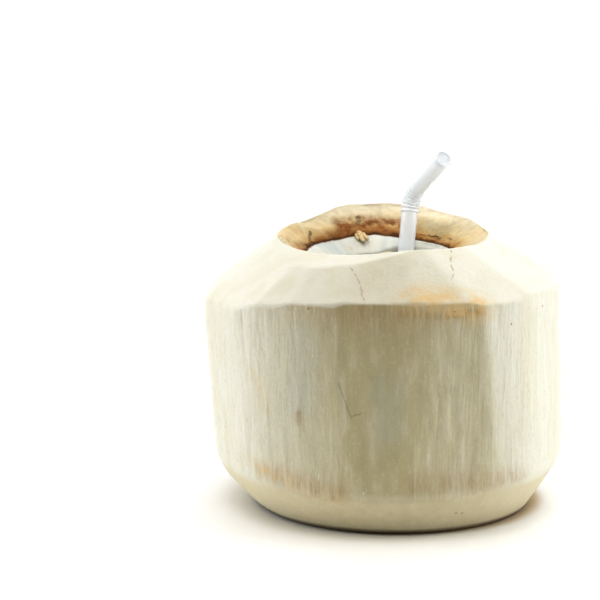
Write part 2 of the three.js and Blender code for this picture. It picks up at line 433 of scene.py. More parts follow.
def outside(azimuth, elevation):
    """Points of the trimmed outside: one over the soft maximum of all gauges from the heart."""
    direction = way(azimuth, elevation)
    walls = soft_maximum(plane_gauge(direction, WALLS), upright_rounding(azimuth, *UPRIGHT_SOFT))
    cones = soft_maximum(plane_gauge(direction, CONES), 0.25e-4 + 0.25 * rounding(azimuth))
    gauges = np.stack([walls, cones, foot_gauge(direction), base_gauge(direction)], -1)
    return HEART + direction / soft_maximum(gauges, rounding(azimuth))[..., None]


def on_outside(paths):
    """Paths carried to the trimmed outside, along the rays from the heart."""
    carried = []
    for path in paths:
        ray = unit(np.array(path) - HEART)
        azimuth = np.degrees(np.arctan2(ray[:, 1], ray[:, 0])) % 360
        carried.append(outside(azimuth, np.degrees(np.arcsin(ray[:, 2]))).tolist())
    return carried


def mouth_wave(turn):
    """How far the funnel's wall stands in or out of a true cone, in millimetres, at an angle round
    the mouth in radians."""
    ring = np.stack([np.cos(turn), np.sin(turn), 0 * turn], -1)
    return 0.45 * noise(ring * 2.6, 11) + 0.25 * noise(ring * 7.0, 12)


def into_mouth(points):
    """Turns points to the mouth's own frame: angle round it, distance from its axis, height."""
    tilt = math.radians(MOUTH_TILT)
    x, y, z = np.moveaxis(points - MOUTH_CENTRE, -1, 0)
    along = (y * math.cos(tilt) + z * math.sin(tilt)) / MOUTH_STRETCH[1]
    up = -y * math.sin(tilt) + z * math.cos(tilt)
    across = x / MOUTH_STRETCH[0]
    return np.arctan2(along, across), np.hypot(across, along), up


def out_of_mouth(turn, radius, up):
    """The reverse of into_mouth."""
    tilt = math.radians(MOUTH_TILT)
    x = radius * np.cos(turn) * MOUTH_STRETCH[0]
    y = radius * np.sin(turn) * MOUTH_STRETCH[1]
    z = up + 0 * turn
    turned = [x, y * math.cos(tilt) - z * math.sin(tilt), y * math.sin(tilt) + z * math.cos(tilt)]
    return MOUTH_CENTRE + np.stack(turned, -1)


def funnel(turn, radius):
    """Height of the mouth's wall in its own frame: a cone that rises outwards from the shell."""
    return (radius - MOUTH_RADIUS - mouth_wave(turn)) * math.tan(math.radians(MOUTH_SLOPE))


def above_funnel(points):
    """Height of points over the mouth's wall, in the mouth's frame."""
    turn, radius, up = into_mouth(points)
    return up - funnel(turn, radius)


def hollow_wall(side, polar, margin=0.0):
    """Points of the hollow's wall, an ellipsoid, by angle round it and angle from its top."""
    wide, high = CAVITY_RADIUS - margin, CAVITY_HALF_HEIGHT - margin
    across = wide * np.sin(polar)
    return CAVITY_CENTRE + np.stack([across * np.cos(side), across * np.sin(side), high * np.cos(polar)], -1)


def outside_hollow(points):
    """Above 0 where points lie outside the hollow's ellipsoid."""
    x, y, z = np.moveaxis(points - CAVITY_CENTRE, -1, 0)
    return (x * x + y * y) / CAVITY_RADIUS ** 2 + (z / CAVITY_HALF_HEIGHT) ** 2 - 1


def nut_grid():
    """The whole nut as rows of points: base, foot, drum and cone by elevation from the heart, then
    the mouth's wall, the shell's edge and the flesh along the funnel, then a cubic curve down the
    throat, then the hollow. Returns the points, each part's first row, and how far out from the
    shell's inner line each point of the mouth lies."""
    azimuth = np.arange(COLUMNS) * 360 / COLUMNS
    none = azimuth * 0

    def meeting(upper, lower, low, high):
        """Elevations between low and high at which the cuts of one gauge give way to another's."""
        return crossing(lambda e: upper(way(azimuth, e)) - lower(way(azimuth, e)), none + low, none + high)

    def walls(direction):
        return plane_gauge(direction, WALLS).max(-1)

    def cones(direction):
        return plane_gauge(direction, CONES).max(-1)

    base = meeting(foot_gauge, base_gauge, -70, -30)
    foot = meeting(walls, foot_gauge, -50, 10)
    shoulder = meeting(cones, walls, 5, 60)
    rim = crossing(lambda e: above_funnel(outside(azimuth, e)), shoulder, none + 89)
    flat = np.linspace(0, 1, ROWS["base"], endpoint=False)[:, None]
    elevation = np.concatenate([
        np.degrees(np.arctan(flat * np.tan(np.radians(base + 90)))) - 90,
        base + (foot - base) * eased(ROWS["foot"]),
        foot + (shoulder - foot) * eased(ROWS["drum"]),
        shoulder + (rim - shoulder) * eased(ROWS["cone"], True),
    ])
    outer = outside(azimuth + 0 * elevation, elevation)
    turn, radius, _ = into_mouth(outer[-1])
    # The shell's edge comes closer to the middle at the sides than at the back.
    shell_in = MOUTH_RADIUS - SHELL_INSET + SHELL_OUT_BEHIND * hump(turn, *BEHIND)
    shell_in = shell_in + mouth_wave(turn + 0.6) * 0.7
    shell_out = shell_in + SHELL_EDGE
    along = np.concatenate([
        radius + (shell_out - radius) * eased(ROWS["wall"] + 1, True)[1:],
        shell_out + (shell_in - shell_out) * even(ROWS["shell"]),
    ])
    throat = -crossing(lambda r: -outside_hollow(out_of_mouth(turn, -r, funnel(turn, -r))),
                       none - MOUTH_RADIUS + 1, none - 12)
    # At the back and left the flesh reaches further in, clear of the straw.
    throat = throat - FLESH_REACH * between(*FLESH_FROM, turn) * between(*FLESH_TO, turn)
    inner = shell_in + (throat + THROAT_LEAD - shell_in) * even(ROWS["flesh"])
    along = np.concatenate([along, inner])
    wall = out_of_mouth(turn + 0 * along, along, funnel(turn + 0 * along, along))
    corner = out_of_mouth(turn, throat, funnel(turn, throat))
    offset = corner - CAVITY_CENTRE
    side = np.arctan2(offset[:, 1], offset[:, 0])
    polar = np.arccos(offset[:, 2] / CAVITY_HALF_HEIGHT) + math.radians(THROAT_JOIN)
    t = even(ROWS["throat"])[..., None]
    below = corner - np.array([0, 0, THROAT_DROP])
    lip = (1 - t) ** 3 * wall[-1] + 3 * t * (1 - t) ** 2 * corner + 3 * t ** 2 * (1 - t) * below
    lip = lip + t ** 3 * hollow_wall(side, polar)
    deeper = polar + (math.pi - polar) * even(ROWS["hollow"])
    points = np.concatenate([outer, wall, lip, hollow_wall(side + 0 * deeper, deeper)])
    starts = dict(zip(ROWS, np.cumsum([0] + list(ROWS.values()))))
    depth = into_mouth(points)[1] - shell_in
    depth[starts["throat"]:] = -6
    return points, starts, depth


def round_mouth(points, seed, width, length):
    """Noise drawn out towards the middle of the mouth: width round it, length towards it."""
    turn, radius, _ = into_mouth(points)
    around = MOUTH_RADIUS / width
    return noise(np.stack([np.cos(turn) * around, np.sin(turn) * around, radius / length], -1), seed)


def relief(points, starts, sizes):
    """The nut's points moved along their normals by sums of noise: waves of the knife, strands and
    torn flakes along the fibres of the drum, hacks in the mouth's wall and folds in the flesh."""
    rows = np.arange(len(points))[:, None] + 0 * points[..., 0]
    height = points[..., 2]
    on_outer = between(1.5, 8, height) * between(starts["wall"] - 1, starts["wall"] - 5, rows)
    on_drum = between(starts["drum"] - 3, starts["drum"] + 3, rows)
    on_drum = on_drum * between(starts["cone"] + 1, starts["cone"] - 3, rows)
    on_wall = between(starts["wall"] - 0.5, starts["wall"] + 3, rows) * (rows < starts["shell"] + 1)
    on_flesh = between(starts["flesh"] + 0.5, starts["flesh"] + 4, rows)
    wave = 0.7 * noise(points / 19, 1) + 0.35 * noise(points / 8, 2)
    strand = 0.7 * strands(points, 3.4, 34, 3) + 0.3 * strands(points, 1.7, 16, 4)
    flake = between(0.22, 0.40, strands(points, 2.6, 15, 5)) * between(-0.2, 0.25, noise(points / 14, 6))
    ragged = near(points, TORN_EDGE, 9) + 0.6 * near(points, BROWN_ZONE, 6)
    flake = flake + 2.2 * ragged * between(-0.1, 0.3, strands(points, 1.9, 6, 7))
    pit = between(0.30, 0.52, strands(points, 4.5, 11, 8))
    drum = sizes.strand_height * strand + sizes.flake_height * (flake - 0.9 * pit)
    outer = on_outer * (sizes.knife_wave * wave * (0.1 + 0.9 * on_drum) + drum * on_drum) / MM
    groove = sum(depth * near(points, path, reach) for depth, path, reach in GROOVES)
    turn, radius, _ = into_mouth(points)
    hack = 0.55 * round_mouth(points, 21, 7, 5) + 0.30 * round_mouth(points, 22, 3, 2.5)
    hack = hack + 0.16 * round_mouth(points, 23, 1.3, 1.2)
    degrees = np.degrees(turn) % 360
    block = between(*BLOCK_FROM, degrees) * between(*BLOCK_TO, degrees)
    hack = hack + 1.2 * block * between(MOUTH_RADIUS + 3, MOUTH_RADIUS + 7, radius)
    fold = 0.45 * round_mouth(points, 31, 7, 30) + 0.25 * round_mouth(points, 32, 3, 20)
    line = -0.35 * hump(rows, starts["flesh"] - 0.5, 1.3)
    moved = outer + on_outer * groove + on_wall * hack + on_flesh * fold + line
    moved[[0, -1]] = 0
    return points + grid_normals(points) * moved[..., None]


def add(tree, kind, inputs=None, out=0, stops=None, **settings):
    """Adds a shader node with its settings, and returns that output of it, if it has any. Each input,
    by name or number, takes a value or another node's output, and stops fill a colour ramp."""
    made = tree.nodes.new("ShaderNode" + kind)
    for name, value in settings.items():
        setattr(made, name, value)
    for name, value in (inputs or {}).items():
        if isinstance(value, bpy.types.NodeSocket):
            tree.links.new(value, made.inputs[name])
        else:
            made.inputs[name].default_value = value
    if stops:
        ramp = made.color_ramp
        for _ in range(len(stops) - len(ramp.elements)):
            ramp.elements.new(0.5)
        for element, (position, colour) in zip(ramp.elements, stops):
            element.position = position
            element.color = colour
    return made.outputs[out] if made.outputs else made


def new_material(name, *values):
    """An empty node material and its tree, with the place of each point in metres and the mesh's own
    values of those names."""
    material = bpy.data.materials.new(name)
    material.use_nodes = True
    tree = material.node_tree
    tree.nodes.clear()
    own = [add(tree, "Attribute", out="Fac", attribute_name=value) for value in values]
    return material, tree, add(tree, "TexCoord", out="Object"), *own


def surface(material, colour, height=None, strength=1.0, drop=0.0, **inputs):
    """Ends a material in a Principled shader with that colour, a bump of height times drop in
    millimetres, and those inputs, whose names are written with _ for a space."""
    tree = material.node_tree
    settings = {name.replace("_", " "): value for name, value in inputs.items()}
    settings["Base Color"] = colour
    if height is not None:
        bump = {"Height": height, "Strength": strength, "Distance": drop * MM}
        settings["Normal"] = add(tree, "Bump", bump)
    add(tree, "OutputMaterial", {"Surface": add(tree, "BsdfPrincipled", settings)})
    return material


def grain(tree, place, width, length, detail=3.0):
    """Noise whose grains are width across and length up the nut, both in millimetres."""
    scale = (1 / width, 1 / width, 1 / length)
    scaled = add(tree, "Mapping", {"Vector": place, "Scale": scale})
    return add(tree, "TexNoise", {"Vector": scaled, "Scale": 1 / MM, "Detail": detail})


def summed(tree, total, *terms):
    """A total plus patterns, each multiplied by its weight, which may be a pattern too."""
    for pattern, weight in terms:
        total = add(tree, "Math", {0: pattern, 1: weight, 2: total}, operation="MULTIPLY_ADD")
    return total


def shown(tree, pattern, low, high, top=1.0, *factors):
    """How much of a pattern shows: a smooth step from 0 at its value low to top at its value high,
    multiplied by factors."""
    inputs = {"Value": pattern, "From Min": low, "From Max": high, "To Max": top}
    share = add(tree, "MapRange", inputs, interpolation_type="SMOOTHSTEP")
    for factor in factors:
        share = summed(tree, 0.0, (share, factor))
    return share


def layered(tree, colour, *layers):
    """Mixes tones over a colour, one after another. Each layer is a tone and its share, or a tone, a
    pattern and what shown takes for it."""
    for tone, share, *ends in layers:
        if ends:
            share = shown(tree, share, *ends)
        colour = add(tree, "Mix", {0: share, 6: colour, 7: tone}, 2, data_type="RGBA")
    return colour


def mark(tree, place, paths, width, hard=0.0):
    """A thin mark along paths of points, in millimetres: 1 on a path and 0 at width from it. For each
    stretch a-b, the share along it is dot(p - a, b - a) over |b - a| squared, held to 0..1, and the
    mark falls with the distance to that point. Hard is the share of the width that is 1 all over."""
    shortest = None
    for a, b in [pair for path in paths for pair in zip(path, path[1:] or path)]:
        start, reach = np.array(a) * MM, (np.array(b) - np.array(a)) * MM
        offset = add(tree, "VectorMath", {0: place, 1: tuple(start)}, operation="SUBTRACT")
        if reach @ reach > 0:
            along = {0: offset, 1: tuple(reach / (reach @ reach))}
            along = add(tree, "VectorMath", along, "Value", operation="DOT_PRODUCT")
            along = add(tree, "Clamp", {"Value": along})
            along = add(tree, "VectorMath", {0: tuple(reach), "Scale": along}, operation="SCALE")
            offset = add(tree, "VectorMath", {0: offset, 1: along}, operation="SUBTRACT")
        far = add(tree, "VectorMath", {0: offset}, "Value", operation="LENGTH")
        if shortest is not None:
            far = add(tree, "Math", {0: far, 1: shortest}, operation="MINIMUM")
        shortest = far
    return shown(tree, shortest, width * MM, width * hard * MM)


def wobbled(tree, place, size, reach):
    """The place moved by noise of that grain size, by up to reach, in millimetres."""
    drift = add(tree, "TexNoise", {"Vector": place, "Scale": 1 / size / MM, "Detail": 2.0}, "Color")
    drift = add(tree, "VectorMath", {0: drift, 1: (0.5, 0.5, 0.5)}, operation="SUBTRACT")
    drift = add(tree, "VectorMath", {0: drift, "Scale": 2 * reach * MM}, operation="SCALE")
    return add(tree, "VectorMath", {0: place, 1: drift}, operation="ADD")


def husk_material(colours):
    """Fresh coconut husk, cut with a knife: a pale moist sponge full of upright fibres. The eye sees
    long soft streaks where the cut runs along the fibres, and specks where it crosses them."""
    material, tree, place, painted_shade, drum, grey, brown, orange = new_material(
        "fresh husk, knife cut", "painted_shade", "drum", "grey", "brown", "orange")
    loose = wobbled(tree, place, 9, 1.0)
    thin = wobbled(tree, wobbled(tree, place, 5, 1.3), 1.6, 0.5)
    # Real fibres are 0.1 to 0.3 mm thick. They are drawn in bundles of 0.8 mm and more, which show.
    broad = grain(tree, loose, 10, 60, 2.0)
    bundle = grain(tree, loose, 2.4, 40)
    fibre = grain(tree, loose, 0.8, 12)
    cloud = grain(tree, place, 22, 22, 2.0)
    mottle = grain(tree, loose, 3.6, 11, 4.0)
    speck = grain(tree, place, 1.0, 1.3, 1.0)
    juice = grain(tree, place, 5, 5)
    gaps = shown(tree, grain(tree, place, 2, 2, 2.0), 0.36, 0.56)
    level = add(tree, "SeparateXYZ", {0: place}, "Z")
    along = summed(tree, 0.25, (drum, 0.75))
    crack = mark(tree, thin, on_outside([CONE_CRACK[2:]]), 0.40, 0.2)
    nick = mark(tree, wobbled(tree, place, 4, 0.7), on_outside([NICK[:2], SLIT]), 0.6)
    fine = mark(tree, thin, on_outside([CONE_CRACK[:3], NICK[1:], FRONT_CRACK]), 0.45)
    dots = mark(tree, place, on_outside(DOTS + [SHOULDER_SPOT]), 0.6, 0.2)
    crack, fine = (summed(tree, 0.0, (line, gaps)) for line in (crack, fine))
    colour = layered(
        tree, colours.husk,
        (colours.husk_foot, level, 18 * MM, 14 * MM),
        # Painted shade: an olive-grey darkening of the sides, most on the side in front that the lamps reach
        # least.
        (colours.husk_painted_shade, painted_shade),
        (colours.husk_warm, broad, 0.42, 0.72, 0.28),
        (colours.husk_pale, bundle, 0.54, 0.80, 0.40, along),
        (colours.husk_dark, fibre, 0.54, 0.82, 0.36, along),
        (colours.husk_dark, cloud, 0.56, 0.76, 0.16),
        (colours.husk_dark, speck, 0.54, 0.80, 0.24, along),
        (colours.husk_pale, speck, 0.44, 0.22, 0.24, along),
        # The olive and pale mottle grow with the painted shade.
        (colours.husk_olive, mottle, 0.50, 0.66, 1.0, summed(tree, 0.03, (painted_shade, 0.20))),
        (colours.husk_pale, mottle, 0.47, 0.33, 1.0, summed(tree, 0.04, (painted_shade, 0.16))),
        (colours.grey, bundle, 0.2, 0.6, 1.0, grey),
        (colours.stain_brown, fibre, 0.20, 0.66, 1.0, brown),
        (colours.stain_orange, juice, 0.22, 0.66, 1.0, orange),
        (colours.crack, summed(tree, 0.0, (crack, 0.42))),
        (colours.crack, summed(tree, 0.0, (nick, 0.10))),
        (colours.stain_brown, summed(tree, 0.0, (fine, 0.42))),
        (colours.stain_brown, summed(tree, 0.0, (dots, 0.9))),
        # Painted contact shadow: the lowest 2.6 mm of the nut, where it stands on the table, darkened with
        # the crack colour.
        (colours.crack, level, 2.6 * MM, 0.6 * MM, 0.75),
    )
    height = summed(tree, 0.0, (mottle, -0.7), (bundle, 0.9))
    height = summed(tree, 0.0, (along, height))
    fibre = summed(tree, 0.0, (along, fibre))
    height = summed(tree, height, (fibre, 0.6), (speck, 0.30), (nick, -0.7), (crack, -1.4), (fine, -0.7))
    return surface(material, colour, height, 1.0, 0.34, Roughness=0.62, IOR=1.42, Specular_IOR_Level=0.38,
                   Subsurface_Weight=0.12, Subsurface_Radius=(1.0, 0.75, 0.4), Subsurface_Scale=2.2 * MM)


def mouth_material(colours):
    """The cut wall of the mouth: husk that dries to tan at the rim and goes red-brown towards the
    shell, whose golden edge ends in a dark line. Older cut husk looks drier and rougher."""
    material, tree, place, depth, fibre, red, peach = new_material(
        "browned husk and shell edge", "depth", "streak", "red", "peach")
    blotch = grain(tree, place, 5, 5)
    speck = grain(tree, place, 1.2, 1.2, 2.0)
    # Blotches and fibres carry the tones out and in by several millimetres. The wall's 14 mm run
    # from the shell to the rim.
    shifted = summed(tree, depth, (blotch, 7.0), (fibre, 0.9))
    ramp = add(tree, "ValToRGB", {0: summed(tree, -3.7 / 14, (shifted, 1 / 14))}, stops=[
        (0.00, colours.mouth_brown),
        (0.10, colours.shell_gold),
        (0.22, colours.mouth_tan),
        (0.42, colours.mouth_cream),
        (0.90, colours.mouth_rim),
    ])
    red = shown(tree, blotch, 0.24, 0.54, 1.1, red)
    crack = mark(tree, wobbled(tree, place, 2.5, 0.9), [MOUTH_CRACK, MOUTH_NOTCH, MOUTH_DARK_RIGHT], 0.9)
    crack = shown(tree, speck, 0.36, 0.52, 1.0, crack)
    spot = mark(tree, wobbled(tree, place, 2, 1.0), [MOUTH_SPOT], 1.4)
    dark = add(tree, "Math", {0: crack, 1: spot}, operation="MAXIMUM")
    # Old browned fibres lie in dark patches, drawn out round the mouth, where the red-brown is.
    clump = grain(tree, wobbled(tree, place, 2.5, 1.2), 4.5, 2.5)
    line = summed(tree, depth, (grain(tree, place, 4, 4, 4.0), -3.4))
    colour = layered(
        tree, ramp,
        (colours.mouth_red, red),
        (colours.mouth_peach, summed(tree, 0.0, (peach, 0.8))),
        (colours.mouth_brown, fibre, 0.45, 0.95, 0.16),
        (colours.mouth_rim, speck, 0.52, 0.80, 0.14),
        (colours.mouth_brown, clump, 0.46, 0.56, 0.8, red),
        (colours.crack, summed(tree, 0.0, (dark, 0.62))),
        (colours.crack, line, -0.3, -1.5, 1.0, 0.8),
    )
    height = summed(tree, 0.0, (fibre, 0.4), (speck, 0.5), (dark, -1.5))
    return surface(material, colour, height, 1.0, 0.45, Roughness=0.72, IOR=1.42, Specular_IOR_Level=0.3)


def flesh_material(colours):
    """Young coconut flesh: wet translucent jelly over white meat. It looks bluish white, soft and
    glossy, with a thin brown skin where it met the shell."""
    material, tree, place, depth, fold = new_material("young coconut flesh", "depth", "fold")
    colour = layered(
        tree, colours.flesh,
        (colours.flesh_blue, fold, 0.35, 0.85, 0.7),
        (colours.flesh_warm, grain(tree, place, 6, 6, 2.0), 0.52, 0.74, 0.6),
        (colours.mouth_brown, summed(tree, depth, (grain(tree, place, 1.6, 1.6, 2.0), 0.9)), 0.0, 0.5, 0.8),
    )
    return surface(material, colour, fold, 0.6, 0.4, Roughness=0.28, IOR=1.38, Subsurface_Weight=0.7,
                   Subsurface_Radius=(1.0, 0.97, 0.92), Subsurface_Scale=5 * MM)


def one_grain_material(name, base, tone, grains, ends, bump, **inputs):
    """A material with one grain, which mixes a tone over its base colour and gives its bump."""
    material, tree, place = new_material(name)
    pattern = grain(tree, place, *grains)
    return surface(material, layered(tree, base, (tone, pattern, *ends)), pattern, *bump, **inputs)


def torn_material(colours):
    """Torn husk fibre: thin dry strands that curl off a cut, matt, and pale with olive streaks."""
    return one_grain_material(
        "torn husk fibre", colours.husk_pale, colours.husk_olive, (0.5, 6), (0.45, 0.75, 0.5), (0.8, 0.1),
        Roughness=0.7, IOR=1.42, Specular_IOR_Level=0.3)


def shred_material(colours):
    """Browned husk fibre at the shell: a soft wet shred, golden with darker strands."""
    return one_grain_material(
        "browned husk shred", colours.mouth_cream, colours.mouth_red, (0.6, 4), (0.40, 0.70, 0.5), (0.8, 0.2),
        Roughness=0.6, IOR=1.42, Specular_IOR_Level=0.35)


def water_material(colours):
    """Fresh coconut water: clear, with a faint milky tint, and a still surface."""
    return one_grain_material(
        "coconut water", colours.water, linear("#ffffff"), (12, 12, 1.0), (0.3, 0.7, 0.5), (0.1, 0.3),
        Roughness=0.03, IOR=1.333, Transmission_Weight=0.92)


def straw_material(colours):
    """White polypropylene, blown thin: smooth, slightly translucent and faintly cool, so the far wall
    glows through the near one. The tube's extruded lines are some 0.05 mm wide and are drawn 0.7 mm
    wide. Light that scatters inside the thin wall is given as a faint glow."""
    return one_grain_material(
        "white polypropylene straw", colours.straw, colours.straw_cool, (0.7, 40, 1.0), (0.35, 0.70, 0.5),
        (0.25, 0.05), Roughness=0.30, IOR=1.3, Transmission_Weight=0.6, Emission_Color=colours.straw,
        Emission_Strength=0.08)


def table_material(colours):
    """A matt white table top. Its colour darkens towards the front of the room as painted shade, for a light
    that falls off there, and a brown ring round the foot is a painted contact shadow.
    """
    material, tree, place = new_material("matt white table")
    front = add(tree, "SeparateXYZ", {0: place}, "Y")
    ends = {0: place, 1: tuple(FOOT_SHIFT * MM)}
    away = add(tree, "VectorMath", ends, "Value", operation="DISTANCE")
    colour = layered(
        tree, colours.table,
        (linear("#ffffff"), grain(tree, place, 60, 60, 2.0), 0.3, 0.7, 0.3),
        # Painted shade: the table darkens towards the front, as if a light fell off there.
        (colours.table_painted_falloff, front, -0.12, -0.34),
        # Painted contact shadow: a brown ring right round the foot.
        (colours.table_painted_contact_shadow, away, 54 * MM, 48 * MM, 0.8),
    )
    return surface(material, colour, Roughness=0.85, Specular_IOR_Level=0.2)


def a_length(name, description, default):
    return bpy.props.FloatProperty(name=name, description=description, default=default * MM,
                                   min=0, unit="LENGTH", precision=5)


def a_colour(name, description, code):
    return bpy.props.FloatVectorProperty(name=name, description=description, default=linear(code),
                                         size=4, min=0, max=1, subtype="COLOR")


class CoconutSizes(bpy.types.PropertyGroup):
    """Sizes that a user may change."""
    knife_wave: a_length("Knife waves", "Height of the shallow waves that the knife left", 0.28)
    strand_height: a_length("Strands", "Height of the fibre strands on the drum", 0.15)
    flake_height: a_length("Torn flakes", "Height of torn flakes on the drum", 0.17)
    meniscus: a_length("Meniscus", "How high the water creeps up the flesh", 0.8)
    straw_wall: a_length("Straw wall", "Thickness of the straw's wall", 0.4)
    torn_count: bpy.props.IntProperty(name="Torn fibres", description="How many torn fibres there are",
                                      default=34, min=1, max=400)


class CoconutColours(bpy.types.PropertyGroup):
    """Colours of every finish."""
    husk: a_colour("Husk", "Fresh cut husk", "#ebe7d7")
    husk_foot: a_colour("Foot", "Husk of the foot", "#e2d8bc")
    # Painted shade: the next colour darkens the sides that the lamps reach least, and the olive patches grow
    # with it.
    husk_painted_shade: a_colour("Dull husk", "Husk of the sides that were cut first", "#ccc29d")
    husk_olive: a_colour("Olive patches", "Olive patches of the dull sides", "#b3aa87")
    husk_pale: a_colour("Pale strands", "Brightest strands of the husk", "#f0ecdd")
    husk_warm: a_colour("Warm husk", "Yellower parts of the husk", "#e0d6b6")
    husk_dark: a_colour("Dark strands", "Shaded and older strands", "#cbc09d")
    grey: a_colour("Grey bruise", "Cool grey patches", "#ccd0c4")
    stain_brown: a_colour("Brown stain", "Browned husk", "#b18548")
    stain_orange: a_colour("Orange stain", "Orange stain of the juice", "#e7cd9b")
    # The crack colour also paints the contact shadow along the lowest few millimetres of the nut.
    crack: a_colour("Crack", "Dark cracks and dots", "#4a3018")
    mouth_rim: a_colour("Mouth rim", "Husk at the rim of the mouth", "#e6dcc2")
    mouth_cream: a_colour("Mouth cream", "Husk in the middle of the mouth's wall", "#decb9f")
    mouth_tan: a_colour("Mouth tan", "Husk lower on the mouth's wall", "#cfb17b")
    mouth_red: a_colour("Mouth red-brown", "Husk near the shell", "#98642f")
    mouth_brown: a_colour("Mouth brown", "Shell and old fibres", "#7d4f27")
    mouth_peach: a_colour("Mouth peach", "Fresher block at the mouth's side", "#e8d0a3")
    shell_gold: a_colour("Shell edge", "Golden edge of the young shell", "#b5854a")
    flesh: a_colour("Flesh", "Young flesh", "#e1e0d5")
    flesh_blue: a_colour("Flesh folds", "Bluish folds of the flesh", "#c3cac6")
    flesh_warm: a_colour("Flesh warm", "Warmer parts of the flesh", "#d9ceb2")
    water: a_colour("Water", "Coconut water", "#f6f5ea")
    straw: a_colour("Straw", "White straw", "#fbfcfc")
    straw_cool: a_colour("Straw cool", "Cooler lines of the straw", "#eff3f5")
    table: a_colour("Table", "Table top", "#f7f6f3")
    # Painted contact shadow: the brown ring on the table round the foot.
    table_painted_contact_shadow: a_colour("Table at the foot", "Table top stained by juice round the foot", "#cdb287")
    # Painted shade: the table's colour towards the front of the room.
    table_painted_falloff: a_colour("Table in front", "Table top towards the front of the room", "#a8a59d")


def strongest(points, *marks):
    """The largest of marks on the nut, each given as its strength, path and reach."""
    return np.maximum.reduce([strength * near(points, path, reach) for strength, path, reach in marks])


class COCONUT_OT_nut(bpy.types.Operator):
    """Build the trimmed nut with its mouth, flesh and hollow"""
    bl_idname = "coconut.nut"
    bl_label = "Nut"

    def execute(self, context):
        colours = context.scene.coconut_colours
        points, starts, depth = nut_grid()
        moved = relief(points, starts, context.scene.coconut_sizes)
        first = [starts["wall"] - 1, starts["flesh"] - 1]
        row_material = np.searchsorted(first, np.arange(len(points)), side="right")
        drum_painted_shade, cone_painted_shade = painted_shade_levels(unit(points - HEART))
        rows = np.arange(len(points))[:, None] + 0 * points[..., 0]
        drum = between(starts["cone"] + 1, starts["cone"] - 1, rows)
        foot = between(starts["drum"] - 2, starts["drum"] + 1, rows)
        # Painted shade: an olive-grey darkening of the sides, most on the side in front that the lamps reach
        # least; the foot takes about a third of it.
        painted_shade = drum_painted_shade * drum + cone_painted_shade * (1 - drum)
        painted_shade = painted_shade * (0.35 + 0.65 * between(15, 18, points[..., 2]))
        brown = strongest(
            points, (0.95, BROWN_SHOULDER, 2.6), (0.55, SHOULDER_BAND, 3.6), (0.30, BROWN_ZONE, 7.0),
            (0.35, TORN_EDGE, 6), (0.6, DRUM_SPOT, 2.2), (0.25, RED_SHOULDER, 5),
            *[(0.6, path, 2.4) for path in BROWN_ROUNDS])
        orange = strongest(
            points, (1.0, ORANGE_CONE, 9.5), (0.85, BROWN_SHOULDER, 4.0), (0.22, ORANGE_LINE, 5.0),
            (0.75, FOOT_STAIN[1:], 3.4), (0.40, FOOT_STAIN, 4.4), (0.20, TORN_EDGE, 9))
        values = {
            "depth": depth,
            # Brown below the shoulder, which grows with the painted shade.
            "brown": np.maximum(brown, 0.30 * between(68, 79, points[..., 2]) * painted_shade),
            "orange": orange,
            "grey": strongest(points, (0.4, GREY_PATCH, 9), (0.4, GREY_FRONT, 10)),
            "painted_shade": painted_shade,
            "drum": drum * (0.4 + 0.6 * foot),
            "streak": 0.5 + round_mouth(points, 41, 1.3, 2.5) * 0.35 + round_mouth(points, 42, 3.5, 5) * 0.25,
            "fold": 0.5 + round_mouth(points, 31, 7, 30) * 0.4 + round_mouth(points, 32, 3, 20) * 0.3,
            "red": near(points, MOUTH_RED, 7.5) + 0.45 * near(points, MOUTH_GOLD, 6),
            "peach": strongest(points, (1, MOUTH_PEACH, 9), (0.7, MOUTH_PEACH_RIGHT, 7)),
        }
        materials = [husk_material(colours), mouth_material(colours), flesh_material(colours)]
        nut = fill_mesh("nut", moved[None], materials, row_material=row_material,
                        values={name: grid[None] for name, grid in values.items()})
        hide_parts("coconut")
        return {"FINISHED"}


def outer_place(azimuth, height):
    """Points of the outside at an azimuth and a height, and their normals, by small steps."""
    level = crossing(lambda e: outside(azimuth, e)[..., 2] - height, azimuth * 0 - 50, azimuth * 0 + 35)
    here = outside(azimuth, level)
    aside = outside(azimuth + 0.3, level) - here
    up = outside(azimuth, level + 0.3) - here
    return here, unit(np.cross(aside, up))


def slivers(name, roots, along, outward, length, width, curl, material):
    """Thin torn strips. Each is carried along its centre line, root + along L (t - 0.1) + outward
    L (curl t^2 - 0.024), with a flat oval section whose half width is width sqrt(1 - t^2) (0.45 + 0.55
    sqrt(t)). Their ends are closed."""
    t = np.linspace(0, 1, 7)[None, :, None]
    spin = circle(8)
    across = unit(np.cross(along, outward))[:, None, None]
    length, width, curl = (v[:, None, None] for v in (length, width, curl))
    sink = 0.12 * length
    line = roots[:, None] + along[:, None] * length * (t - 0.1)
    line = line + outward[:, None] * (curl * length * t ** 2 - 0.2 * sink)
    half = (width * np.sqrt(np.clip(1 - t ** 2, 0, 1)) * (0.45 + 0.55 * t ** 0.5))[..., None]
    thick = 0.35 * half
    oval = np.cos(spin)[:, None] * across * half + np.sin(spin)[:, None] * outward[:, None, None] * thick
    made = fill_mesh(name, line[:, :, None] + oval, [material])


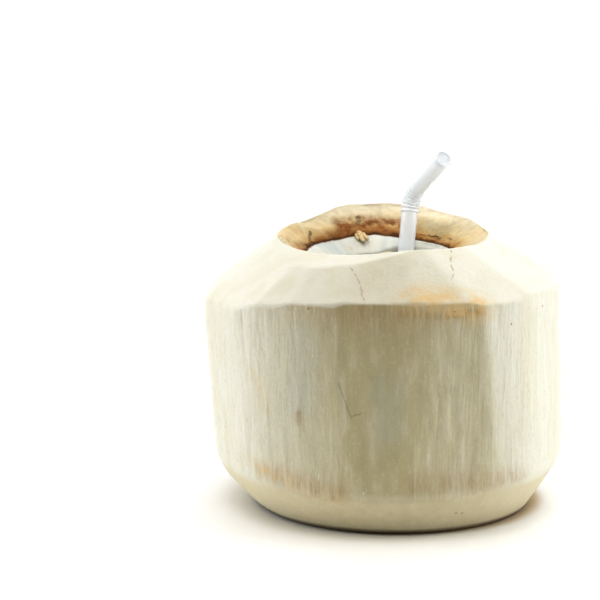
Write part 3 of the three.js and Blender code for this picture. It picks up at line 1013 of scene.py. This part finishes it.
class COCONUT_OT_torn_fibres(bpy.types.Operator):
    """Add torn fibres along the lower edge and on the drum, and splinters at the shell"""
    bl_idname = "coconut.torn_fibres"
    bl_label = "Torn fibres"

    def execute(self, context):
        count = context.scene.coconut_sizes.torn_count
        colours = context.scene.coconut_colours
        draw = np.random.default_rng(7)
        at_edge = np.linspace(0, 1, count) < 0.5
        # Half of them hang at the lower edge in front, and the others anywhere on the drum.
        azimuth = np.where(at_edge, 226 + 36 * draw.random(count), 360 * draw.random(count))
        height = np.where(at_edge, 18.5 + 14 * draw.random(count) ** 2, 20 + 50 * draw.random(count) ** 2)
        roots, outward = outer_place(azimuth, height)
        down = np.array([0, 0, -1.0]) + 0.12 * draw.standard_normal((count, 3))
        down = unit(down - outward * np.sum(down * outward, -1, keepdims=True))
        length = 2.0 + 2.6 * draw.random(count)
        slivers("torn_fibres", roots - 0.2 * outward, down, outward, length, 0.14 + 0.2 * draw.random(count),
                0.05 + 0.09 * draw.random(count), torn_material(colours))
        run = SPLINTERS[:, 1] - SPLINTERS[:, 0]
        lift = np.tile(SPLINTER_LIFT, (len(run), 1))
        slivers("splinters", SPLINTERS[:, 0], unit(run), lift, np.linalg.norm(run, axis=1),
                SPLINTER_WIDTHS, SPLINTER_CURLS, shred_material(colours))
        return {"FINISHED"}


class COCONUT_OT_water(bpy.types.Operator):
    """Fill the hollow with coconut water up to its level"""
    bl_idname = "coconut.water"
    bl_label = "Water"

    def execute(self, context):
        # The wall follows the hollow up to the level, and the top falls from the edge by
        # meniscus times exp(-distance / reach).
        scene = context.scene
        rise = scene.coconut_sizes.meniscus / MM
        side = circle(96)
        edge = math.acos((WATER_LEVEL + rise - CAVITY_CENTRE[2]) / CAVITY_HALF_HEIGHT)
        polar = np.linspace(math.pi, edge, 28)[:, None]
        wall = hollow_wall(side + 0 * polar, polar + 0 * side, WATER_GAP)
        inward = 1 - even(21)[..., None] ** 0.6
        centre = np.array([CAVITY_CENTRE[0], CAVITY_CENTRE[1], WATER_LEVEL])
        top = centre + (wall[-1] - centre) * inward
        gap = np.linalg.norm((wall[-1] - top)[..., :2], axis=-1)
        top[..., 2] = WATER_LEVEL + rise * np.exp(-gap / MENISCUS_REACH)
        water = fill_mesh("water", np.concatenate([wall, top])[None], [water_material(scene.coconut_colours)])
        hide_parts("coconut_water")
        return {"FINISHED"}


def straw_line():
    """Points along the straw's middle: a line, a quadratic curve round the bend's corner, and a line.
    Returns them with their directions, how far past the start of the bend each is, and its length."""
    start = STRAW_BEND + unit(STRAW_FOOT - STRAW_BEND) * BEND_REACH
    end = STRAW_BEND + unit(STRAW_TIP - STRAW_BEND) * BEND_REACH
    low, mid, high = (np.linspace(0, 1, count)[:, None] for count in STRAW_STEPS)
    mid = mid[1:-1]
    curve = (1 - mid) ** 2 * start + 2 * mid * (1 - mid) * STRAW_BEND + mid ** 2 * end
    points = np.concatenate([STRAW_FOOT + (start - STRAW_FOOT) * low, curve, end + (STRAW_TIP - end) * high])
    steps = np.linalg.norm(np.diff(points, axis=0), axis=1)
    travelled = np.concatenate([[0], np.cumsum(steps)])
    bend_start, bend_end = travelled[len(low) - 1], travelled[len(low) + len(mid)]
    return points, unit(np.gradient(points, axis=0)), travelled - bend_start, bend_end - bend_start


class COCONUT_OT_straw(bpy.types.Operator):
    """Build the bendy straw that stands in the mouth"""
    bl_idname = "coconut.straw"
    bl_label = "Straw"

    def execute(self, context):
        # A circle is carried along the line. Each bellows ridge adds a squared cosine to its radius.
        scene = context.scene
        wall = scene.coconut_sizes.straw_wall / MM
        points, forward, passed, bend = straw_line()
        middle = (np.arange(RIDGE_COUNT) + 0.5) / RIDGE_COUNT * bend
        off = np.clip(np.abs(passed[:, None] - middle) / RIDGE_HALF_WIDTH, 0, 1)
        radius = STRAW_RADIUS + RIDGE_HEIGHT * (np.cos(off * math.pi / 2) ** 2).sum(1)
        level = unit(np.cross(STRAW_BEND - STRAW_FOOT, STRAW_TIP - STRAW_BEND))
        across = np.cross(forward, level)
        spin = circle(40)[:, None]
        ring = np.cos(spin) * level + np.sin(spin) * across[:, None]
        outer = points[:, None] + ring * radius[:, None, None]
        inner = points[:, None] + ring * (radius - wall)[:, None, None]
        lips = [points[i] + forward[i] * out * wall * 0.35 + ring[i] * (STRAW_RADIUS - wall / 2)
                for i, out in ((-1, 1), (0, -1))]
        grid = np.concatenate([outer, lips[0][None], inner[::-1], lips[1][None]])
        straw = fill_mesh("bendy_straw", grid[None], [straw_material(scene.coconut_colours)], ring=True)
        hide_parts("straw")
        return {"FINISHED"}


def lamp(name, kind, power, colour, azimuth, elevation, size, target, distance):
    """A soft lamp that looks at a target from an azimuth and an elevation, in degrees. Size is the
    width of an area light, and the angle of a sun or of a spot's beam."""
    data = bpy.data.lights.new(name, kind)
    data.energy, data.color = power, linear(colour)[:3]
    if kind == "SUN":
        data.angle = math.radians(size)
    elif kind == "SPOT":
        data.spot_size = math.radians(size)
        data.spot_blend = 1.0
        data.shadow_soft_size = 0.03
    else:
        data.shape = "DISK"
        data.size = size
    made = bpy.data.objects.new(name, data)
    made.location = way(float(azimuth), float(elevation)) * distance + target * MM
    made.rotation_euler = (math.radians(90 - elevation), 0, math.radians(azimuth + 90))
    bpy.context.scene.collection.objects.link(made)


class COCONUT_OT_studio(bpy.types.Operator):
    """Set up the white table, the studio light and the camera"""
    bl_idname = "coconut.studio"
    bl_label = "Studio"

    def execute(self, context):
        scene = context.scene
        rim = way(np.degrees(circle(96)), 0.0) * TABLE_RADIUS * MM
        mesh = bpy.data.meshes.new("table")
        mesh.from_pydata(rim.tolist(), [], [list(range(len(rim)))])
        mesh.materials.append(table_material(scene.coconut_colours))
        table = bpy.data.objects.new("table", mesh)
        scene.collection.objects.link(table)
        world = bpy.data.worlds.new("white studio")
        scene.world = world
        world.use_nodes = True
        tree = world.node_tree
        tree.nodes.clear()
        direction = add(tree, "TexCoord", out="Generated")
        back = add(tree, "SeparateXYZ", {0: direction}, "Y")
        colour = layered(tree, WORLD_FRONT, (WORLD_BACK, back, -0.12, 0.12))
        add(tree, "OutputWorld", {"Surface": add(tree, "Background", {"Color": colour, "Strength": 1.0})})
        for name, settings in LAMPS.items():
            lamp(name, *settings)
        camera = bpy.data.objects.new("camera", bpy.data.cameras.new("camera"))
        camera.data.lens = CAMERA_LENS
        camera.location = tuple(np.array(CAMERA_PLACE) * MM)
        camera.rotation_euler = (math.radians(90 - CAMERA_DOWN), 0, 0)
        scene.collection.objects.link(camera)
        scene.camera = camera
        scene.view_settings.view_transform = "Standard"
        scene.view_settings.gamma = VIEW_GAMMA
        return {"FINISHED"}


STEPS = [COCONUT_OT_nut, COCONUT_OT_torn_fibres, COCONUT_OT_water, COCONUT_OT_straw, COCONUT_OT_studio]


class COCONUT_PT_panel(bpy.types.Panel):
    """Lists the steps, the sizes and the colours in the sidebar."""
    bl_idname = "COCONUT_PT_panel"
    bl_label = "Young coconut"
    bl_space_type = "VIEW_3D"
    bl_region_type = "UI"
    bl_category = "Coconut"

    def draw(self, context):
        for made in STEPS:
            self.layout.operator(made.bl_idname)
        for group in (context.scene.coconut_sizes, context.scene.coconut_colours):
            column = self.layout.column()
            for name in group.__annotations__:
                column.prop(group, name)


CLASSES = [CoconutSizes, CoconutColours, *STEPS, COCONUT_PT_panel]


def register():
    for made in CLASSES:
        bpy.utils.register_class(made)
    bpy.types.Scene.coconut_sizes = bpy.props.PointerProperty(type=CoconutSizes)
    bpy.types.Scene.coconut_colours = bpy.props.PointerProperty(type=CoconutColours)


def unregister():
    del bpy.types.Scene.coconut_colours
    del bpy.types.Scene.coconut_sizes
    for made in reversed(CLASSES):
        bpy.utils.unregister_class(made)


def main():
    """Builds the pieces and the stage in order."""
    register()
    bpy.ops.coconut.nut()
    bpy.ops.coconut.torn_fibres()
    bpy.ops.coconut.water()
    bpy.ops.coconut.straw()
    bpy.ops.coconut.studio()


if __name__ == "__main__":
    main()
